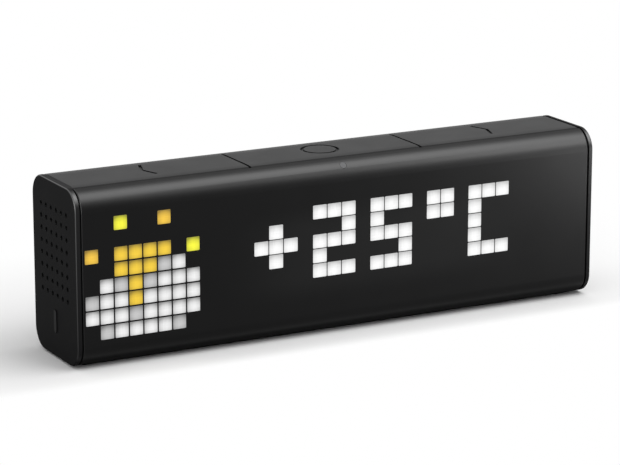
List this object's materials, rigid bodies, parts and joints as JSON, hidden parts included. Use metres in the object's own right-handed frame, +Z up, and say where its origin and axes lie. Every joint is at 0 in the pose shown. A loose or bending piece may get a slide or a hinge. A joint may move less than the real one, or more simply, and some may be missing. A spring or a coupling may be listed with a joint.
{
  "type": "smart wi-fi clock",
  "caption": "Slim bar-shaped desk clock with a pixel display behind a smoked front, sprung touch-bar keys on top, speaker grilles and buttons in the end caps, and a rubber base.",
  "frame": {"origin": "on the table, under the middle of the body", "axes": "+X to the viewer's right along the body, -Y out of the display, +Z up"},
  "size_m": [0.2016, 0.036, 0.061],
  "materials": {
    "smoked_front": "satin smoked black",
    "shell_black": "fine matt black",
    "cap_black": "fine matt black",
    "key_black": "matt black",
    "button_black": "satin black",
    "rubber_base": "matt",
    "deck_plastic": "moulded",
    "board_green": "solder mask",
    "board_blue": "solder mask",
    "board_black": "solder mask",
    "switch_black": "moulded",
    "stem_white": "moulded",
    "diffuser_film": "frosted",
    "baffle_white": "moulded",
    "led_body": "clear resin",
    "shield_steel": "tinned",
    "chip_black": "moulded",
    "lens_clear": "frosted clear",
    "speaker_frame": "painted",
    "speaker_paper": "paper",
    "magnet_steel": "plated",
    "gasket_foam": "foam",
    "grille_cloth": "woven",
    "connector_cream": "moulded",
    "ribbon_film": "film",
    "lead_red": "insulation",
    "screw_black": "black zinc",
    "screw_steel": "zinc"
  },
  "bodies": {
    "housing": {"front_shell": "smoked_front", "rear_shell": "shell_black", "left_end_cap": "cap_black", "right_end_cap": "cap_black", "base_pad": "rubber_base", "key_deck": "deck_plastic", "key_board": "board_green", "power_board": "board_green", "volume_board": "board_green", "main_board": "board_blue", "led_board": "board_black", "key_switches": "switch_black", "power_switch": "switch_black", "volume_switches": "switch_black", "diffuser_sheet": "diffuser_film", "pixel_baffle": "baffle_white", "matrix_leds": "led_body", "wifi_module": "shield_steel", "usb_socket": "shield_steel", "board_chips": "chip_black", "light_sensor": "chip_black", "sensor_lens": "lens_clear", "left_speaker_frame": "speaker_frame", "right_speaker_frame": "speaker_frame", "left_speaker_cone": "speaker_paper", "right_speaker_cone": "speaker_paper", "left_speaker_magnet": "magnet_steel", "right_speaker_magnet": "magnet_steel", "left_speaker_gasket": "gasket_foam", "right_speaker_gasket": "gasket_foam", "left_grille_cloth": "grille_cloth", "right_grille_cloth": "grille_cloth", "ribbon_connectors": "connector_cream", "lead_plugs": "connector_cream", "matrix_ribbon": "ribbon_film", "key_ribbon": "ribbon_film", "left_leads": "lead_red", "right_leads": "lead_red", "deck_screws": "screw_black", "shell_screws": "screw_steel", "cap_screws": "screw_steel", "key_board_screws": "screw_steel", "led_board_screws": "screw_steel", "main_board_screws": "screw_steel", "side_board_screws": "screw_steel", "speaker_screws": "screw_steel"},
    "left_key": {"left_key": "key_black", "left_key_stem": "stem_white"},
    "action_key": {"action_key": "key_black", "action_key_stem": "stem_white"},
    "right_key": {"right_key": "key_black", "right_key_stem": "stem_white"},
    "power_button": {"power_button": "button_black", "power_stem": "stem_white"},
    "volume_up_button": {"volume_up_button": "button_black", "volume_up_stem": "stem_white"},
    "volume_down_button": {"volume_down_button": "button_black", "volume_down_stem": "stem_white"}
  },
  "joints": [
    {"name": "left_key_press", "type": "slide", "parent": "housing", "child": "left_key", "axis": [0, 0, -1], "range_m": [0, 0.0006], "stiffness_N_per_m": 300, "springref_m": -0.0006},
    {"name": "action_key_press", "type": "slide", "parent": "housing", "child": "action_key", "axis": [0, 0, -1], "range_m": [0, 0.0006], "stiffness_N_per_m": 300, "springref_m": -0.0006},
    {"name": "right_key_press", "type": "slide", "parent": "housing", "child": "right_key", "axis": [0, 0, -1], "range_m": [0, 0.0006], "stiffness_N_per_m": 300, "springref_m": -0.0006},
    {"name": "power_button_press", "type": "slide", "parent": "housing", "child": "power_button", "axis": [1, 0, 0], "range_m": [0, 0.0005], "stiffness_N_per_m": 150, "springref_m": -0.0005},
    {"name": "volume_up_button_press", "type": "slide", "parent": "housing", "child": "volume_up_button", "axis": [-1, 0, 0], "range_m": [0, 0.0005], "stiffness_N_per_m": 150, "springref_m": -0.0005},
    {"name": "volume_down_button_press", "type": "slide", "parent": "housing", "child": "volume_down_button", "axis": [-1, 0, 0], "range_m": [0, 0.0005], "stiffness_N_per_m": 150, "springref_m": -0.0005}
  ]
}
